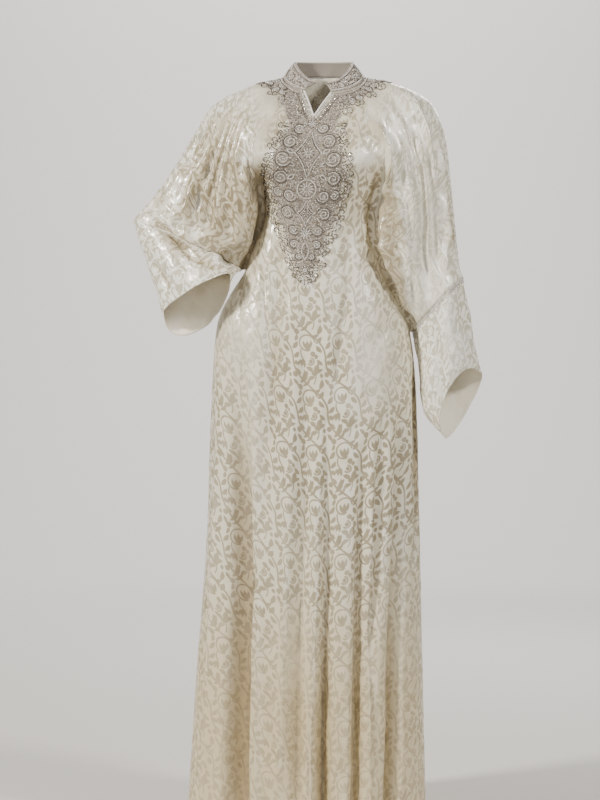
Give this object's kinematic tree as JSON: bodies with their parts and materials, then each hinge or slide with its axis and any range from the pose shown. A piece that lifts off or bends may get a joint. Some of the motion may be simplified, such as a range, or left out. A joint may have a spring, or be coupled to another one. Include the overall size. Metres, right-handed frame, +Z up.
{
  "type": "kaftan",
  "caption": "Worn floor-length kaftan of ivory jacquard satin with batwing sleeves, a stand collar, a notched neck and a beaded yoke.",
  "frame": {"origin": "middle of the neck at shoulder height, where the wearer's shoulders carry the garment", "axes": "+Z up along the wearer, +X towards the wearer's left, the wearer faces -Y"},
  "size_m": [0.7082, 0.3255, 1.5251],
  "materials": {
    "satin": "ivory silk satin jacquard, tone on tone vine with tulips",
    "bead_embroidery": "silver and taupe glass beads on net",
    "piping": "white satin bias piping",
    "bead_trim": "silver beads and small crystals"
  },
  "bodies": {
    "root": {"front": "satin", "back": "satin", "left_cuff": "satin", "right_cuff": "satin", "collar": "bead_embroidery", "bead_yoke": "bead_embroidery", "neck_piping": "piping", "left_cuff_trim": "bead_trim", "right_hem_trim": "bead_trim"}
  },
  "joints": []
}
